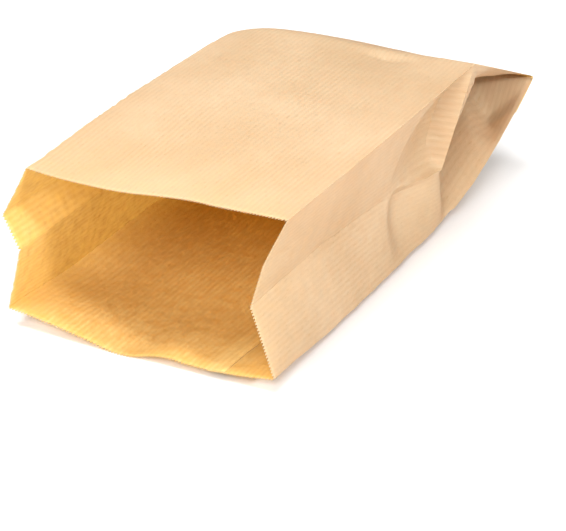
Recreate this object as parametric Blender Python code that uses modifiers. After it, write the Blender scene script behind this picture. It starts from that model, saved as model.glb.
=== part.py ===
"""A gusseted brown paper bag, lying open on its floor panel.

The bag is one folded and glued sheet: a tube of two panels and two gussets,
open at the mouth and pinched shut at the other end, where a strip of the roof
panel is folded over the ridge and glued under the floor panel.

Frame: +Z up, the mouth faces -Y, the bag rests on Z = 0 with the centre of its
box at the origin.  Lengths are metres.
"""

import bmesh
import bpy
from mathutils import Vector

MM = 0.001

# The paper
PAPER_THICKNESS = 0.12 * MM
PANEL_WIDTH = 150 * MM
GUSSET_WIDTH = 92 * MM

# The opened section: the roof panel has slid to +X over the floor panel
ROOF_HEIGHT = 96 * MM
ROOF_SLIDE = 12 * MM
FLOOR_EDGE_LIFT = 9 * MM          # floor creases curl up at the mouth
FLOOR_EDGE_LIFT_BACK = 4 * MM
FLAT_HALF_WIDTH = 50 * MM         # half of the strip that touches the ground
CREASE_DEPTH = 11 * MM            # how far the gusset centre creases sit inwards

# Stations along the bag
DENT_Y = 168 * MM                 # the gussets dip in before the shoulder
DENT_DEPTH = 16 * MM
FLOOR_BEND_Y = 206 * MM
ROOF_BEND_Y = 222 * MM
GUSSET_BEND_Y = 195 * MM
RIDGE_Y = 308 * MM
RIDGE_HEIGHT = 58.5 * MM

# The closed end
FOLD_BAND = 8 * MM                # gusset band that hangs from a crease at the shoulder
LAYER_GAP = 0.55 * MM             # the same band where the layers are pinched
RIDGE_HALF = 1.0 * MM             # half of the pinched stack's height
CREASE_HALF = 0.45 * MM           # half of the gusset's centre fold
HEM_LENGTH = 20 * MM
HEM_THICKNESS = 0.3 * MM
HEM_OVERLAP = 0.06 * MM           # glued into the floor panel
HEM_SIDE_MARGIN = 1.5 * MM


def mix(a, b, t):
    """The point or number at t from a to b."""
    return a + (b - a) * t


def open_loop(y_roof, y_gusset, y_floor, lift, depth, roof_shift=0.0):
    """One run around the open tube, starting at the roof's left crease."""
    left, right = -PANEL_WIDTH / 2, PANEL_WIDTH / 2
    slide = ROOF_SLIDE + roof_shift
    roof_left = Vector((left + slide, y_roof, ROOF_HEIGHT))
    roof_right = Vector((right + slide, y_roof, ROOF_HEIGHT))
    floor_left = Vector((left, y_floor, lift))
    floor_right = Vector((right, y_floor, lift))

    def gusset(top, bottom, side):
        middle = mix(top, bottom, 0.5)
        middle.x -= side * depth
        middle.y = y_gusset
        up, down = top - middle, bottom - middle
        upper = middle + up * (1 - FOLD_BAND / up.length)
        lower = middle + down * (1 - FOLD_BAND / down.length)
        crease_up = middle + up.normalized() * CREASE_HALF
        crease_down = middle + down.normalized() * CREASE_HALF
        return [upper, crease_up, crease_down, lower]

    right_side = gusset(roof_right, floor_right, 1)
    left_side = gusset(roof_left, floor_left, -1)
    return [
        roof_left,
        mix(roof_left, roof_right, 0.33),
        mix(roof_left, roof_right, 0.67),
        roof_right,
        *right_side,
        floor_right,
        Vector((FLAT_HALF_WIDTH, y_floor, 0)),
        Vector((-FLAT_HALF_WIDTH, y_floor, 0)),
        floor_left,
        *reversed(left_side),
    ]


def ridge_loop():
    """The pinched end, in the same order as open_loop: four layers, gussets folded in."""
    left, right = -PANEL_WIDTH / 2 + ROOF_SLIDE, PANEL_WIDTH / 2 + ROOF_SLIDE
    inner_left, inner_right = left + GUSSET_WIDTH / 2, right - GUSSET_WIDTH / 2
    top, bottom = RIDGE_HALF, -RIDGE_HALF
    outline = [
        (left, top),
        (mix(left, right, 0.33), top),
        (mix(left, right, 0.67), top),
        (right, top),
        (right, top - LAYER_GAP),
        (inner_right, CREASE_HALF),
        (inner_right, -CREASE_HALF),
        (right, bottom + LAYER_GAP),
        (right, bottom),
        (mix(left, right, 0.8), bottom),
        (mix(left, right, 0.2), bottom),
        (left, bottom),
        (left, bottom + LAYER_GAP),
        (inner_left, -CREASE_HALF),
        (inner_left, CREASE_HALF),
        (left, top - LAYER_GAP),
    ]
    return [Vector((x, RIDGE_Y, RIDGE_HEIGHT + z)) for x, z in outline]


def paper_surface(name):
    """The outer face of the folded sheet, open at the mouth and closed at the ridge."""
    shoulder = open_loop(ROOF_BEND_Y, GUSSET_BEND_Y, FLOOR_BEND_Y, FLOOR_EDGE_LIFT_BACK, 0.0)
    ridge = ridge_loop()
    loops = [
        open_loop(0, 0, 0, FLOOR_EDGE_LIFT, CREASE_DEPTH),
        open_loop(DENT_Y / 2, DENT_Y / 2, DENT_Y / 2, FLOOR_EDGE_LIFT, CREASE_DEPTH),
        open_loop(DENT_Y, DENT_Y, DENT_Y, mix(FLOOR_EDGE_LIFT, FLOOR_EDGE_LIFT_BACK, 0.6), DENT_DEPTH),
        shoulder,
        [mix(a, b, 0.5) for a, b in zip(shoulder, ridge)],
        ridge,
    ]
    mesh = bpy.data.meshes.new(name)
    sheet = bmesh.new()
    rings = [[sheet.verts.new(point) for point in loop] for loop in loops]
    for front, back in zip(rings, rings[1:]):
        count = len(front)
        for i in range(count):
            j = (i + 1) % count
            sheet.faces.new((front[i], front[j], back[j], back[i]))
    sheet.faces.new(reversed(rings[-1]))
    bmesh.ops.triangulate(sheet, faces=sheet.faces[:])
    bmesh.ops.recalc_face_normals(sheet, faces=sheet.faces[:])
    sheet.to_mesh(mesh)
    sheet.free()
    return mesh


def hem_strip(name, collection):
    """The flap of the roof panel that is folded over the ridge and glued under the floor panel."""
    bend = Vector((0, FLOOR_BEND_Y, 0))
    ridge = Vector((0, RIDGE_Y, RIDGE_HEIGHT - RIDGE_HALF))
    slope = (ridge - bend).normalized()
    outward = Vector((0, slope.z, -slope.y))
    reach = HEM_LENGTH / (ridge - bend).length
    start_x = mix(ROOF_SLIDE, 0, reach)
    mesh = bpy.data.meshes.new(name)
    strip = bmesh.new()
    bmesh.ops.create_cube(strip, size=1.0)
    half_width = PANEL_WIDTH / 2 - HEM_SIDE_MARGIN
    for vert in strip.verts:
        at_ridge = vert.co.y > 0
        centre_x = ROOF_SLIDE if at_ridge else start_x
        along = ridge if at_ridge else ridge - slope * HEM_LENGTH
        depth = HEM_THICKNESS if vert.co.z < 0 else -HEM_OVERLAP
        side = half_width if vert.co.x > 0 else -half_width
        vert.co = along + outward * depth + Vector((centre_x + side, 0, 0))
    strip.to_mesh(mesh)
    strip.free()
    flap = bpy.data.objects.new(name, mesh)
    flap.hide_render = True
    flap.display_type = "WIRE"
    collection.objects.link(flap)
    return flap


def kraft_paper():
    """Plain brown kraft."""
    material = bpy.data.materials.new("kraft_paper")
    material.use_nodes = True
    shader = material.node_tree.nodes["Principled BSDF"]
    shader.inputs["Base Color"].default_value = (0.72, 0.50, 0.28, 1)
    shader.inputs["Roughness"].default_value = 0.62
    shader.inputs["Metallic"].default_value = 0
    return material


def centre_on_origin(objects):
    """Move the meshes so that their joint box stands centred on the origin."""
    corners = [vert.co for item in objects for vert in item.data.vertices]
    middle_x = (min(c.x for c in corners) + max(c.x for c in corners)) / 2
    middle_y = (min(c.y for c in corners) + max(c.y for c in corners)) / 2
    for item in objects:
        for vert in item.data.vertices:
            vert.co -= Vector((middle_x, middle_y, 0))


def main():
    for item in list(bpy.data.objects):
        bpy.data.objects.remove(item)

    part = bpy.data.collections.new("paper_bag")
    helpers = bpy.data.collections.new("paper_bag_cutters")
    bpy.context.scene.collection.children.link(part)
    bpy.context.scene.collection.children.link(helpers)

    bag = bpy.data.objects.new("paper_bag", paper_surface("paper_bag"))
    part.objects.link(bag)
    bag.data.materials.append(kraft_paper())
    flap = hem_strip("hem_strip", helpers)
    centre_on_origin([bag, flap])

    wall = bag.modifiers.new("paper", "SOLIDIFY")
    wall.thickness = PAPER_THICKNESS
    wall.offset = -1
    glue = bag.modifiers.new("hem", "BOOLEAN")
    glue.operation = "UNION"
    glue.solver = "EXACT"
    glue.object = flap


main()
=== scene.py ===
import math

import bmesh
import bpy
from mathutils import Matrix, Vector, noise


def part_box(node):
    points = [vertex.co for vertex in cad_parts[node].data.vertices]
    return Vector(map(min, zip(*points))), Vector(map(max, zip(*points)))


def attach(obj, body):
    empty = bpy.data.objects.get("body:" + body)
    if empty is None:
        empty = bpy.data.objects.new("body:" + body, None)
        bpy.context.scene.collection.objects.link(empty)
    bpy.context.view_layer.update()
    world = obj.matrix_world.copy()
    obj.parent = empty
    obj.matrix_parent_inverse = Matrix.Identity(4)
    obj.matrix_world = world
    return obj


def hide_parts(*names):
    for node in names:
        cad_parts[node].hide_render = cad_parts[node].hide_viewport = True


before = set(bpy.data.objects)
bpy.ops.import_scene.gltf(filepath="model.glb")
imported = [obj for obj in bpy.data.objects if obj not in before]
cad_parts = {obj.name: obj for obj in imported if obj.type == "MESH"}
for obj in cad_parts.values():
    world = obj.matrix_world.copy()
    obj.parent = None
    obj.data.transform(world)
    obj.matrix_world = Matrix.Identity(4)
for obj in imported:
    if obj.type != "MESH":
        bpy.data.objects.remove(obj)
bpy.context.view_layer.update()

mm = 0.001
bagLow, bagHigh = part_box("paper_bag")
floorShift = 4.5  # the floor's lip lies left of the box's middle, because the roof has slid right
lipCentre = Vector(((bagLow.x + bagHigh.x) / 2 - floorShift * mm, bagLow.y, 0))  # middle of the floor's lip


def mix(a, b, t):
    return a + (b - a) * t


def ramp(value, start, end):  # 0 at start, 1 at end, smooth between
    t = min(max((value - start) / (end - start), 0.0), 1.0)
    return t * t * (3 - 2 * t)


def hump(value, middle, halfWidth):  # 1 at the middle, smoothly 0 at its two sides
    return ramp(halfWidth - abs(value - middle), 0, halfWidth)


def bow(t):  # 0 at both ends, 1 halfway
    return math.sin(math.pi * t)


def curveAt(points, value):  # a smooth curve through pairs of place and number
    if value <= points[0][0]:
        return points[0][1]
    for i in range(len(points) - 1):
        p0, a = points[i]
        p1, b = points[i + 1]
        if value <= p1:
            before = points[i - 1] if i else (2 * p0 - p1, 2 * a - b)
            after = points[i + 2] if i + 2 < len(points) else (2 * p1 - p0, 2 * b - a)
            slopeA = (b - before[1]) / (p1 - before[0]) * (p1 - p0)
            slopeB = (after[1] - a) / (after[0] - p0) * (p1 - p0)
            t = (value - p0) / (p1 - p0)
            return (a * (2 * t**3 - 3 * t**2 + 1) + slopeA * (t**3 - 2 * t**2 + t)
                    + b * (3 * t**2 - 2 * t**3) + slopeB * (t**3 - t**2))
    return points[-1][1]


def rough(x, y, size, seed):  # soft unevenness, about -1 to 1, in lumps of this size
    return noise.fractal(Vector((x / size, y / size, seed * 7.3)), 0.8, 2.1, 4)


# The paper bag, in millimetres from the middle of the floor panel's lip:
# x across, y into the bag, z up.
paperBag = {
    "thickness": 0.16,
    "length": 315,  # of the sheet, mouth to ridge
    "hem": 20,  # the roof's end, folded over the ridge and glued under the floor
    "bodyRows": 92, "endRows": 40, "hemRows": 12,
    "strips": {  # of the flat sheet, from the lap seam round by the right: columns, width
        "floorRight": (21, 37), "rightLower": (24, 42), "rightUpper": (29, 50), "roof": (86, 150),
        "leftUpper": (29, 50), "leftLower": (24, 42), "floorLeft": (71, 123),
    },
    "seamX": 39, "lap": 10, "lapRise": 0.5,  # the glued lap along the floor
    "toothDepth": 2.2,  # of the pinked lip
    "ground": 0.25, "lowest": 0.2,  # the floor panel's rest above the ground, and the least of any point
    # creases of the open body, each from the mouth to where the closed end folds
    "roofRight": [(0, 84, 97.6), (110, 86, 97.8), (222, 87, 98)],
    "roofLeft": [(0, -62.8, 94.6), (100, -63.5, 95.5), (205, -60, 95.5)],
    "floorRight": [(0, 76.8), (100, 76.8), (208, 77)],
    "floorLeft": [(0, -78.6), (95, -80), (208, -80)],
    "rightFold": [(0, 64, 46), (32, 66, 48), (68, 66.5, 48), (95, 67, 46.5), (145, 69.5, 44),
                  (175, 73.5, 42), (188, 78, 43), (195, 80.5, 43)],
    "leftFold": [(0, -69.8, 47), (60, -68, 48), (110, -67, 48), (160, -71, 47), (192, -76, 46)],
    "foldAcrossRoof": [(0, 222), (0.18, 222), (0.42, 220), (0.65, 219), (0.86, 215), (0.95, 210), (1, 203)],
    "crown": [(0, 0), (0.3, 0.1), (0.5, 1.7), (0.7, 3.2), (0.86, 3.4), (1, 1)],  # the roof's rise, across
    "crownGrows": (20, 200), "crownLeft": 0.4,  # where along the bag, and its share past the fold
    # heights of the two lips and of the floor's far side, by x
    "roofLip": [(-63, 0.1), (-43, -1.8), (-24, -2.4), (-9.6, -2.4), (11, -0.8),
                (25, 0.2), (37, 0.4), (47, 0), (65, 0), (84, 0)],
    "floorLip": [(-78.6, 11.3), (-62, 9.2), (-45, 6.5), (-27, 2.9), (-17, 0.7), (-6.5, 0.6),
                 (8, 4.2), (17, 5.3), (27, 4.5), (44, 4.6), (60, 5.9), (76.8, 8.5)],
    "floorBack": [(-80, 6), (-62, 1.4), (-48, 0.5), (48, 0.5), (60, 1.2), (77, 4.5)],
    "roofSettles": 110, "floorSettles": 75,
    # the upper gussets bend inwards once more: place across, depth at the mouth and deeper in, reach
    "leftKink": {"at": 0.63, "mouth": 11.8, "deep": 3.5, "reach": 130},
    "rightKink": {"at": 0.47, "mouth": 2.4, "deep": 0, "reach": 60},
    # the closed end, pinched to a ridge
    "ridgeRight": (88.7, 308, 58.5), "ridgeLeft": (-61.3, 308, 58),
    "stackHalf": 0.9, "endSag": 7,
}

creaseEnds = {  # the two creases that bound each strip of the sheet
    "floorRight": ("seam", "floorRight"), "rightLower": ("floorRight", "rightFold"),
    "rightUpper": ("rightFold", "roofRight"), "roof": ("roofRight", "roofLeft"),
    "leftUpper": ("roofLeft", "leftFold"), "leftLower": ("leftFold", "floorLeft"),
    "floorLeft": ("floorLeft", "seamEnd"),
}
foldMarks = {"seam": 208, "seamEnd": 208, "floorRight": 208, "rightFold": 195, "roofRight": 222,
             "roofLeft": 203, "leftFold": 192, "floorLeft": 208}


def foldDistance(strip, q):  # how far along the paper the closed end folds, q across the strip
    if strip == "roof":
        return curveAt(paperBag["foldAcrossRoof"], q)
    a, b = creaseEnds[strip]
    return mix(foldMarks[a], foldMarks[b], q)


def lapRise(q):  # the floor's last strip climbs onto the first one
    return paperBag["lapRise"] * ramp(q, 0.9, 1)


def floorHeight(x, y):
    bag = paperBag
    settled = ramp(y, 0, bag["floorSettles"])
    return max(bag["ground"], mix(curveAt(bag["floorLip"], x), curveAt(bag["floorBack"], x), settled))


def creasePoint(name, t):  # t from the mouth to the fold
    bag = paperBag
    if name.startswith("seam"):
        onTop = name == "seamEnd"
        x, y = bag["seamX"] + (bag["lap"] if onTop else 0), foldMarks[name] * t
        return Vector((x, y, floorHeight(x, y) + (bag["lapRise"] if onTop else 0)))
    points = bag[name]
    y = points[-1][0] * t
    if name.startswith("floor"):
        x = curveAt(points, y)
        return Vector((x, y, floorHeight(x, y)))
    x, z = curveAt([(p[0], Vector(p[1:])) for p in points], y)
    return Vector((x, y, z))


def kinkDepth(kink, q, y):
    across = min(q / kink["at"], (1 - q) / (1 - kink["at"]))
    return mix(kink["mouth"], kink["deep"], ramp(y, 0, kink["reach"])) * across


def bodyPoint(strip, q, t):
    bag = paperBag
    a, b = [creasePoint(end, t) for end in creaseEnds[strip]]
    p = mix(a, b, q)
    if strip.startswith("floor"):
        p.z = floorHeight(p.x, p.y) + (lapRise(q) if strip == "floorLeft" else 0)
    if strip == "roof":
        p.y = foldDistance(strip, q) * t
        p.z += curveAt(bag["roofLip"], p.x) * (1 - ramp(p.y, 0, bag["roofSettles"]))
        p.z += curveAt(bag["crown"], q) * ramp(p.y, *bag["crownGrows"])
    if strip in ("leftUpper", "rightUpper"):
        p.x -= kinkDepth(bag["leftKink" if strip == "leftUpper" else "rightKink"], q, p.y)
    return p


# The gussets at the closed end: each half folds in flat, and the right one stands open.
gussetEnds = {
    "reach": 46,  # how far the gusset tucks in at the ridge
    "foldLayer": 0.3, "foldSway": 14, "foldLean": 0.8,
    "tuckUpper": 0.55, "tuckLower": 0.8,  # how early each half tucks in
    "knee": 2.5, "kneeOnset": 4, "kneeLeast": 0.5, "kneeShare": 0.6,
    # a band of the upper half hangs from the roof's crease
    "bandColumns": 6, "bandIn": 15, "bandDown": 12, "bandOnset": 3, "bandTaper": 0.2, "bandLean": 0.9,
    "bandGap": 0.3,
    # the lower half lies on the floor panel
    "rimShare": 0.04, "rimIn": 1.5, "rimRise": (0.8, 0.3), "clearance": 0.8,
    "lift": (2.5, 1.6), "liftShare": 0.42, "liftFades": (0.3, 0.75),
    # the pocket hangs right of the fold that crosses it: along, across
    "pocketFrom": 0.5, "pocketSlant": 0.42, "pocketLast": 0.82, "pocketDepth": 15,
    "pocketOnset": (-0.04, 0.2), "pocketEnds": (0.88, 1.0), "pocketEdge": (-0.04, 0.5),
    "pocketFades": (1.2, 2.4),
}


def ridgePoint(x, layer):  # layer counted in half stacks above the middle of the pinched ridge
    left, right = Vector(paperBag["ridgeLeft"]), Vector(paperBag["ridgeRight"])
    p = mix(left, right, (x - left.x) / (right.x - left.x))
    p.z += layer * paperBag["stackHalf"]
    return p


def pocketDepth(s, inward):  # how far the pocket's floor hangs, s to the ridge, inward from the side
    end = gussetEnds
    start = min(end["pocketFrom"] + end["pocketSlant"] * inward, end["pocketLast"])
    first, full = [start + onset for onset in end["pocketOnset"]]
    along = ramp(s, first, full) * (1 - ramp(s, *end["pocketEnds"]))
    return end["pocketDepth"] * along * ramp(inward, *end["pocketEdge"])


def floorEdges():  # where the floor's two creases reach the closed end
    return creasePoint("floorLeft", 1).x, creasePoint("floorRight", 1).x


def floorEnd(x, s):  # the floor panel's rise from the fold to the ridge
    bag, end = paperBag, gussetEnds
    low, high = floorEdges()
    front = Vector((x, foldMarks["seam"], floorHeight(x, foldMarks["seam"])))
    back = ridgePoint(mix(bag["ridgeLeft"][0], bag["ridgeRight"][0], (x - low) / (high - low)), -1)
    p = mix(front, back, s)
    p.z -= bag["endSag"] * bow(s)
    inside = (high - x) / end["reach"]
    p.z -= pocketDepth(s, inside) * (1 - ramp(inside, *end["pocketFades"]))
    p.z = max(p.z, bag["ground"])
    return p


def floorEndAt(x, s):  # the height of the rising floor at this x
    low, high = floorEdges()
    left, right = paperBag["ridgeLeft"][0], paperBag["ridgeRight"][0]
    widen = (right - left) / (high - low)
    return floorEnd((x - s * (left - low * widen)) / (1 - s + s * widen), s).z


def gussetEnd(q, s, side, upper):  # q from the outer crease to the centre fold, s to the ridge
    bag, end = paperBag, gussetEnds
    name = "right" if side > 0 else "left"
    inward = Vector((-side, 0, 0))
    outerBack = ridgePoint(bag["ridge" + name.capitalize()][0], 1 if upper else -1)
    outer = mix(creasePoint(("roof" if upper else "floor") + name.capitalize(), 1), outerBack, s)
    layer = end["foldLayer"] if upper else -end["foldLayer"]
    fold = mix(creasePoint(name + "Fold", 1), ridgePoint(outerBack.x - side * end["reach"], layer), s)
    fold.x -= side * end["foldSway"] * bow(s ** end["foldLean"])
    if upper:
        share = end["bandColumns"] / bag["strips"]["rightUpper"][0]
        reach = end["bandIn"] * min(s * end["bandOnset"], 1) * (1 - s * end["bandTaper"])
        hang = end["bandDown"] * (1 - s) ** end["bandLean"] + end["bandGap"]
        lip = outer + inward * reach - Vector((0, 0, hang))
    else:
        outer.z -= bag["endSag"] * bow(s)
        share = end["rimShare"]
        lip = outer + inward * end["rimIn"] + Vector((0, 0, mix(*end["rimRise"], s)))
    tuck = end["reach"] * s ** end["tuckUpper" if upper else "tuckLower"]
    knee = lip + inward * max(tuck - (lip - outer).length * end["kneeShare"], end["kneeLeast"])
    knee.z += (-1 if upper else 1) * end["knee"] * (1 - s) * min(1, s * end["kneeOnset"])
    if q < share:
        return mix(outer, lip, q / share)
    rest = (q - share) / (1 - share)
    bend = (knee - lip).length / ((knee - lip).length + (fold - knee).length + 1e-6)
    if not upper:
        lift = mix(*end["lift"], s) + end["liftShare"] * tuck * (1 - ramp(s, *end["liftFades"]))
        knee.z = floorEndAt(knee.x, s) + lift
    if rest < bend:
        p = mix(lip, knee, rest / bend)
        if not upper:
            p.z = floorEndAt(p.x, s) + mix(end["clearance"], lift, rest / bend)
        return p
    p = mix(knee, fold, (rest - bend) / (1 - bend))
    if not upper:
        p.z = max(p.z, floorEndAt(p.x, s) + end["clearance"])
    return p


def endPoint(strip, q, s):
    bag = paperBag
    if strip in ("rightUpper", "leftLower"):
        return gussetEnd(1 - q, s, 1 if strip == "rightUpper" else -1, strip == "rightUpper")
    if strip in ("rightLower", "leftUpper"):
        return gussetEnd(q, s, 1 if strip == "rightLower" else -1, strip == "leftUpper")
    if strip == "roof":
        back = ridgePoint(mix(bag["ridgeRight"][0], bag["ridgeLeft"][0], q), 1)
        p = mix(bodyPoint(strip, q, 1), back, s)
        p.z += bag["crownLeft"] * curveAt(bag["crown"], q) * bow(s)
        return p
    a, b = [creasePoint(end, 1) for end in creaseEnds[strip]]
    p = floorEnd(mix(a.x, b.x, q), s)
    p.z += lapRise(q) if strip == "floorLeft" else 0
    return p


hem = {"turn": 0.15, "height": 1.5, "drop": 0.5, "bulge": 1.1, "under": (0, 0.3, -0.9)}


def hemPoint(q, r):  # the roof's end past the ridge, r from the ridge to the hem's cut edge
    bag = paperBag
    left, right = bag["ridgeLeft"][0], bag["ridgeRight"][0]
    x = mix(right, left, q)
    if r > hem["turn"]:
        back = bag["hem"] * (r - hem["turn"]) / (1 - hem["turn"]) / (bag["length"] - foldMarks["seam"])
        return floorEnd(mix(*floorEdges(), (x - left) / (right - left)), 1 - back) + Vector(hem["under"])
    angle = math.pi * r / hem["turn"]
    p = ridgePoint(x, math.cos(angle) * hem["height"] - hem["drop"])
    p.y += math.sin(angle) * hem["bulge"]
    return p


# Dents and creases that use has put in, as pushes in millimetres along the outward face.
dents = {
    "centreFold": 0.457,  # of the gusset's width, from the floor's crease up
    "side": {  # the right gusset, pushed in ahead of the closed end: by height, where along and how deep
        "from": [(0, 141), (0.16, 138.7), (0.3, 140), (0.44, 144.8), (0.66, 144.2), (0.84, 147.4),
                 (0.97, 166), (1, 184)],
        "depth": [(0, 0.5), (0.12, 4), (0.3, 6), (0.42, 5.5), (0.457, 3), (0.5, 6.5), (0.62, 12),
                  (0.8, 11.5), (0.93, 5), (1, 0)],
        "stop": 0.91, "deepest": 0.82, "lowerDeepest": 0.35, "return": 0.099,
    },
    # the gusset's centre fold: pinched out by the dent, rubbed flat ahead of it
    "pinch": {"width": 0.03, "height": 0.55, "from": (138, 150), "to": (185, 196),
              "waver": 0.5, "beat": 0.35},
    "rub": {"depth": 0.5, "from": (50, 70), "to": (135, 148)},
    "crest": {"x": 0.33, "halfWidth": 0.17, "v": 211, "front": 26, "back": 7, "depth": 2.6, "lean": 1.3},
    "crumple": {"depth": 0.5, "size": 4.5, "reach": (120, 170)},
    "waves": [(0.28, 55, 1), (0.07, 12, 2)],  # of the whole sheet: height, size, seed
    "sideWave": (0.35, 17, 3), "sideWaveFrom": (4, 30),
    "smoothEnd": (290, 308),  # nothing is pushed at the pinched ridge
}


def sidePush(h, v, fold):
    dent = dents["side"]
    upper = h > dents["centreFold"]
    start, depth = [curveAt(dent[key], h) for key in ("from", "depth")]
    stop = mix(start, fold, dent["stop"])
    a = (v - start) / (stop - start)
    if a <= 0:
        return 0.0
    if upper:
        return -depth * (min(a / dent["deepest"], 1) if a < 1 else max(0, 1 - (a - 1) / dent["return"]))
    if a < 1:
        return -depth * ramp(a, 0, dent["lowerDeepest"]) * (1 - ramp(a, dent["lowerDeepest"], 1))
    return 0.0


def centreFoldPush(h, v):
    pinch, rub = dents["pinch"], dents["rub"]
    near = 1 - ramp(abs(h - dents["centreFold"]), 0, pinch["width"])
    out = pinch["height"] * ramp(v, *pinch["from"]) * (1 - ramp(v, *pinch["to"]))
    flat = rub["depth"] * ramp(v, *rub["from"]) * (1 - ramp(v, *rub["to"]))
    return near * (out * (1 + pinch["waver"] * math.sin(v * pinch["beat"])) - flat)


def crestPush(q, v):  # a dent in the roof, just ahead of where it folds
    crest = dents["crest"]
    away = (crest["v"] - v) / crest["front"] if v < crest["v"] else (v - crest["v"]) / crest["back"]
    return -crest["depth"] * hump(q, crest["x"], crest["halfWidth"]) * max(0.0, 1 - away) ** crest["lean"]


def push(strip, q, v, u):
    total = sum(height * rough(u, v, size, seed) for height, size, seed in dents["waves"])
    if strip in ("rightUpper", "rightLower"):
        middle = dents["centreFold"]
        h = middle * q if strip == "rightLower" else middle + (1 - middle) * q
        height, size, seed = dents["sideWave"]
        total += sidePush(h, v, foldDistance(strip, q)) + centreFoldPush(h, v)
        total += height * rough(u, v, size, seed) * ramp(v, *dents["sideWaveFrom"])
    if strip == "roof":
        total += crestPush(q, v)
    if strip in ("leftUpper", "leftLower"):
        crumple = dents["crumple"]
        total += crumple["depth"] * rough(u, v, crumple["size"], 4) * (1 - ramp(v, *crumple["reach"]))
    return total * (1 - ramp(v, *dents["smoothEnd"]))


def columnTable():  # each column's strip, its place across the strip and on the flat paper
    table, start = [], 0.0
    for strip, (columns, width) in paperBag["strips"].items():
        table += [(strip, i / columns, start + width * i / columns) for i in range(columns)]
        start += width
    return table + [(strip, 1.0, start)]


def foldedPoint(strip, q, row):  # where a point of the sheet goes, and how far along the paper it is
    bag = paperBag
    fold = foldDistance(strip, q)
    if row <= bag["bodyRows"]:
        t = row / bag["bodyRows"]
        return bodyPoint(strip, q, t), fold * t
    if row <= bag["bodyRows"] + bag["endRows"]:
        s = (row - bag["bodyRows"]) / bag["endRows"]
        return endPoint(strip, q, s), mix(fold, bag["length"], s)
    r = (row - bag["bodyRows"] - bag["endRows"]) / bag["hemRows"]
    return hemPoint(q if strip == "roof" else 1, r), bag["length"] + bag["hem"] * r


def foldSheet():  # a flat grid, folded column by column and row by row
    bag = paperBag
    table = columnTable()
    columns, rows = len(table) - 1, bag["bodyRows"] + bag["endRows"] + bag["hemRows"]
    sheet = bmesh.new()
    bmesh.ops.create_grid(sheet, x_segments=columns, y_segments=rows, size=0.5)
    paper = sheet.loops.layers.uv.new("paper")
    spot = {vert: (round((vert.co.x + 0.5) * columns), round((vert.co.y + 0.5) * rows))
            for vert in sheet.verts}
    flat = {}
    for vert, (column, row) in spot.items():
        strip, q, u = table[column]
        vert.co, v = foldedPoint(strip, q, row)
        flat[vert] = (strip, q, u, v)
    for face in sheet.faces:
        for loop in face.loops:
            strip, q, u, v = flat[loop.vert]
            loop[paper].uv = (u * mm, v * mm)

    def onRoof(vert):
        strip, q = flat[vert][:2]
        return strip == "roof" or (strip == "leftUpper" and q == 0)

    cutAway = [face for face in sheet.faces  # only the roof's strip goes on past the ridge
               if min(flat[v][3] for v in face.verts) > bag["length"] - 0.01
               and not all(onRoof(v) for v in face.verts)]
    bmesh.ops.delete(sheet, geom=cutAway, context="FACES")
    flat = {vert: where for vert, where in flat.items() if vert.is_valid}
    spot = {vert: where for vert, where in spot.items() if vert.is_valid}
    softenFolds(sheet, spot, flat)
    sheet.normal_update()
    outward = 1 if max(sheet.verts, key=lambda vert: vert.co.z).normal.z > 0 else -1
    moves = {vert: vert.normal * outward * push(strip, q, v, u)
             for vert, (strip, q, u, v) in flat.items()}
    for vert, move in moves.items():
        vert.co += move
        vert.co.z = max(vert.co.z, bag["lowest"])
    if outward < 0:
        bmesh.ops.reverse_faces(sheet, faces=sheet.faces)
    pinkLip(sheet, spot)
    toMetres = Matrix.Translation(lipCentre) @ Matrix.Scale(mm, 4)
    bmesh.ops.transform(sheet, matrix=toMetres, verts=sheet.verts)
    return sheet


def relax(sheet, verts, times):
    for _ in range(times):
        bmesh.ops.smooth_vert(sheet, verts=verts, factor=0.5,
                              use_axis_x=True, use_axis_y=True, use_axis_z=True)


softened = {"roofRows": (7, 3), "roofTimes": 5, "roofFrom": 0.14, "gussetTo": 0.5,
            "cornerRows": 4, "cornerTimes": 4}


def softenFolds(sheet, spot, flat):  # the roof rolls over into the closed end, the floor's corners less
    foldRow = paperBag["bodyRows"]
    for reach in softened["roofRows"]:
        band = [vert for vert, (column, row) in spot.items() if abs(row - foldRow) <= reach
                and ((flat[vert][0] == "roof" and flat[vert][1] > softened["roofFrom"])
                     or (flat[vert][0] == "leftUpper" and flat[vert][1] < softened["gussetTo"]))]
        relax(sheet, band, softened["roofTimes"])
    lower = ("floorRight", "floorLeft", "rightLower", "leftLower")
    corner = [vert for vert, (column, row) in spot.items()
              if flat[vert][0] in lower and abs(row - foldRow) <= softened["cornerRows"]]
    relax(sheet, corner, softened["cornerTimes"])


def pinkLip(sheet, spot):  # small saw teeth along the cut mouth, which faces -y
    lip = [edge for edge in sheet.edges
           if edge.is_boundary and all(spot[vert][1] == 0 for vert in edge.verts)]
    made = bmesh.ops.subdivide_edges(sheet, edges=lip, cuts=1)
    for tip in made["geom_inner"]:
        if isinstance(tip, bmesh.types.BMVert):
            tip.co.y -= paperBag["toothDepth"]


class Signal:  # a shader socket, so that sums on it add Math nodes
    def __init__(self, recipe, socket):
        self.recipe, self.socket = recipe, socket

    def maths(self, operation, *values):
        return self.recipe.node("ShaderNodeMath", {"operation": operation}, list(values))

    def __add__(self, other):
        return self.maths("ADD", self, other)

    def __radd__(self, other):
        return self.maths("ADD", other, self)

    def __sub__(self, other):
        return self.maths("SUBTRACT", self, other)

    def __rsub__(self, other):
        return self.maths("SUBTRACT", other, self)

    def __mul__(self, other):
        return self.maths("MULTIPLY", self, other)

    def __rmul__(self, other):
        return self.maths("MULTIPLY", other, self)

    def sine(self):
        return self.maths("SINE", self)

    def size(self):
        return self.maths("ABSOLUTE", self)

    def above(self, start, end):  # 0 below start, 1 above end
        return self.recipe.node("ShaderNodeMapRange", {"interpolation_type": "SMOOTHSTEP"},
                                {"Value": self, "From Min": start, "From Max": end})


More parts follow.
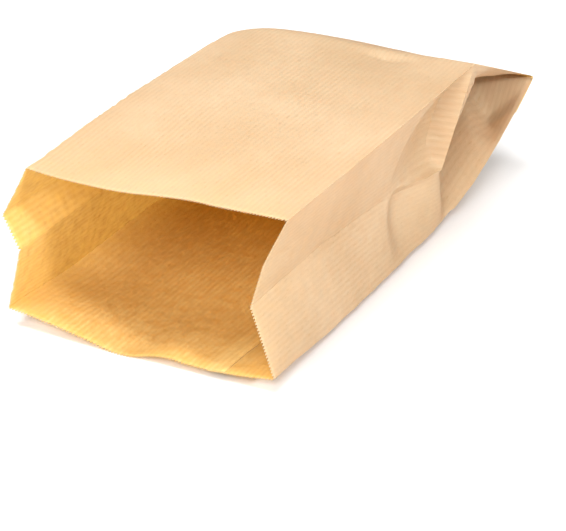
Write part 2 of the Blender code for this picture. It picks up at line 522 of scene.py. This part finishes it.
class Recipe:  # a material's node tree
    def __init__(self, name):
        self.material = bpy.data.materials.new(name)
        self.material.use_nodes = True
        self.tree = self.material.node_tree
        self.tree.nodes.clear()

    def node(self, kind, settings, sockets, output=0):
        made = self.tree.nodes.new(kind)
        for key, value in settings.items():
            setattr(made, key, value)
        pairs = sockets.items() if isinstance(sockets, dict) else enumerate(sockets)
        for key, value in pairs:
            if isinstance(value, Signal):
                self.tree.links.new(value.socket, made.inputs[key])
            else:
                made.inputs[key].default_value = value
        return Signal(self, made.outputs[output]) if made.outputs else made


# The paper's look: outside it is machine glazed with faint ribs, inside rougher; the inside's warmer,
# brighter colours and stronger cloud mottle are painted glow of light bouncing about and shining through
# the paper inside the bag.
kraft = {
    "ribPitch": 3.0, "ribWander": 2.5, "ribLeast": 0.55, "ribFades": (0.3, 0.7),
    # noises: stretch across and along the sheet, size in millimetres, detail, roughness
    "tone": ((1, 0.8), 60, 3, 0.55),
    "cloud": ((1, 0.75), 5.0, 4, 0.62),
    "fibre": ((1, 0.16), 0.55, 3, 0.6),
    "fleck": ((1, 0.3), 1.3, 2, 0.5),
    "wander": ((0.4, 0.12), 14, 1, 0.5),
    "fade": ((1, 0.3), 22, 2, 0.5),
    "toneShare": 0.7, "fibreShare": 0.5, "fleckShare": 0.25, "fleckEdge": (0.66, 0.74),
    "relief": {"ribs": 0.3, "cloud": 0.8, "fibre": 0.35, "height": 0.0002},
    "specular": 0.35, "roughnessSpread": 0.25,
    "lapShare": 0.6, "fibreThrough": 0.12,  # light through the glued lap, and what the fibres vary
    "outer": {"dark": (0.51, 0.39, 0.22), "light": (0.755, 0.66, 0.475), "ribs": 0.11, "clouds": 0.18,
              "roughness": 0.58, "bump": 0.3, "through": 0.42, "mottle": 0.25, "glow": (0.91, 0.68, 0.36)},
    # inner: colours painted warmer and brighter, and clouds painted strong, for the glow of light bouncing
    # and shining through inside the bag
    "inner": {"dark": (0.70, 0.42, 0.12), "light": (0.95, 0.77, 0.36), "ribs": 0.18, "clouds": 0.8,
              "roughness": 0.75, "bump": 0.4, "through": 0.54, "mottle": 0.9, "glow": (0.98, 0.74, 0.27)},
}


def kraftPaper(name, finish):
    recipe = Recipe(name)
    node = recipe.node
    flat = node("ShaderNodeUVMap", {"uv_map": "paper"}, {})
    place = node("ShaderNodeMapping", {}, {"Vector": flat, "Scale": (1 / mm, 1 / mm, 1)})  # in millimetres
    across = node("ShaderNodeSeparateXYZ", {}, {"Vector": place})

    def noiseOf(key):
        stretch, size, detail, roughness = kraft[key]
        scale = (stretch[0] / size, stretch[1] / size, 1)
        spread = node("ShaderNodeMapping", {}, {"Vector": place, "Scale": scale})
        return node("ShaderNodeTexNoise", {"noise_dimensions": "2D"},
                    {"Vector": spread, "Scale": 1.0, "Detail": detail, "Roughness": roughness})

    tone, cloud, fibre = [noiseOf(key) - 0.5 for key in ("tone", "cloud", "fibre")]
    wave = (across * (2 * math.pi / kraft["ribPitch"]) + noiseOf("wander") * kraft["ribWander"]).sine()
    ribs = wave * (kraft["ribLeast"] + (1 - kraft["ribLeast"]) * noiseOf("fade").above(*kraft["ribFades"]))

    # for the inner paper, the dark and light colours and the strong cloud share are painted glow of light
    # bouncing and shining through inside the bag
    shade = 0.5 + tone * kraft["toneShare"] + cloud * finish["clouds"] + fibre * kraft["fibreShare"]
    flecks = noiseOf("fleck").above(*kraft["fleckEdge"])
    shade = shade + ribs * finish["ribs"] - flecks * kraft["fleckShare"]
    colour = node("ShaderNodeMix", {"data_type": "RGBA"},
                  {"Factor": shade, 6: (*finish["dark"], 1), 7: (*finish["light"], 1)}, output=2)
    relief = kraft["relief"]
    height = ribs * relief["ribs"] + cloud * relief["cloud"] + fibre * relief["fibre"]
    bump = node("ShaderNodeBump", {},
                {"Strength": finish["bump"], "Distance": relief["height"], "Height": height})
    surface = node("ShaderNodeBsdfPrincipled", {}, {
        "Base Color": colour, "Roughness": finish["roughness"] + cloud * kraft["roughnessSpread"],
        "Normal": bump, "Specular IOR Level": kraft["specular"]})
    glow = node("ShaderNodeBsdfTranslucent", {}, {"Color": (*finish["glow"], 1)})
    middle = sum(width for columns, width in paperBag["strips"].values()) / 2
    lapEdge = middle - paperBag["lap"]
    lap = (across - middle).size().above(lapEdge - 2, lapEdge + 1)  # 1 where the sheet's two ends are glued
    share = finish["through"] * (1 - lap * (1 - kraft["lapShare"]))
    share = share + cloud * finish["mottle"] + fibre * kraft["fibreThrough"]
    both = node("ShaderNodeMixShader", {}, [share, surface, glow])
    node("ShaderNodeOutputMaterial", {}, {"Surface": both})
    return recipe.material


def makeBag():
    sheet = foldSheet()
    mesh = bpy.data.meshes.new("bag_sheet")
    sheet.to_mesh(mesh)
    sheet.free()
    piece = bpy.data.objects.new("bag_sheet", mesh)
    bpy.context.scene.collection.objects.link(piece)
    mesh.materials.append(kraftPaper("outer_kraft", kraft["outer"]))
    # the inner paper's colours paint the warm glow of light inside the bag
    mesh.materials.append(kraftPaper("inner_kraft_painted_glow", kraft["inner"]))
    mesh.shade_smooth()
    mesh.set_sharp_from_angle(angle=math.radians(30))
    wall = piece.modifiers.new("paper", "SOLIDIFY")
    wall.thickness, wall.offset = paperBag["thickness"] * mm, -1
    wall.material_offset = 1  # the inner face takes the inner paper
    return piece


bag = makeBag()
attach(bag, "root")
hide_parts("paper_bag")
print("bag folded:", len(bag.data.polygons), "faces")


studio = {
    "sky": 0.08,
    "lights": [  # name, azimuth, elevation, distance, size, power
        ("key_light", 72, 27, 2.6, 0.25, 46),
        ("top_light", -20, 76, 2.2, 1.2, 49),
        ("front_light", 20, 34, 2.4, 0.7, 49),
        ("left_light", -112, 12, 2.0, 1.0, 31),
    ],
    "litHeight": 0.05,
    "floorSize": 4, "floorColour": (0.8, 0.8, 0.8, 1), "floorRoughness": 0.8,
    "lens": 150, "sensor": 36, "clip": (0.05, 20), "view": (27, 27), "distance": 1.25,
    "target": (35.4, 90, 21.1),  # millimetres from the floor's lip
}


def direction(azimuth, elevation):
    a, e = math.radians(azimuth), math.radians(elevation)
    return Vector((math.sin(a) * math.cos(e), -math.cos(a) * math.cos(e), math.sin(e)))


def softLight(name, azimuth, elevation, distance, size, power):
    lamp = bpy.data.lights.new(name, "AREA")
    lamp.shape, lamp.size, lamp.energy = "SQUARE", size, power
    light = bpy.data.objects.new(name, lamp)
    aim = direction(azimuth, elevation)
    light.location = Vector((0, 0, studio["litHeight"])) + aim * distance
    light.rotation_euler = aim.to_track_quat("Z", "Y").to_euler()
    bpy.context.scene.collection.objects.link(light)


def makeFloor():
    mesh = bpy.data.meshes.new("studio_floor")
    ground = bmesh.new()
    bmesh.ops.create_grid(ground, x_segments=1, y_segments=1, size=studio["floorSize"])
    ground.to_mesh(mesh)
    ground.free()
    floor = bpy.data.objects.new("studio_floor", mesh)
    bpy.context.scene.collection.objects.link(floor)
    recipe = Recipe("studio_floor")
    paint = recipe.node("ShaderNodeBsdfPrincipled", {},
                        {"Base Color": studio["floorColour"], "Roughness": studio["floorRoughness"]})
    recipe.node("ShaderNodeOutputMaterial", {}, {"Surface": paint})
    mesh.materials.append(recipe.material)


def makeLights():
    world = bpy.data.worlds.new("studio")
    world.use_nodes = True
    sky = world.node_tree.nodes["Background"].inputs
    sky["Color"].default_value, sky["Strength"].default_value = (1, 1, 1, 1), studio["sky"]
    bpy.context.scene.world = world
    for light in studio["lights"]:
        softLight(*light)
    bpy.context.scene.view_settings.view_transform = "Standard"


def makeCamera():
    lens = bpy.data.cameras.new("camera")
    lens.lens, lens.sensor_width = studio["lens"], studio["sensor"]
    lens.clip_start, lens.clip_end = studio["clip"]
    camera = bpy.data.objects.new("camera", lens)
    aim = direction(*studio["view"])
    camera.location = lipCentre + Vector(studio["target"]) * mm + aim * studio["distance"]
    camera.rotation_euler = aim.to_track_quat("Z", "Y").to_euler()
    bpy.context.scene.collection.objects.link(camera)
    bpy.context.scene.camera = camera


makeFloor()
makeLights()
makeCamera()
print("studio ready")
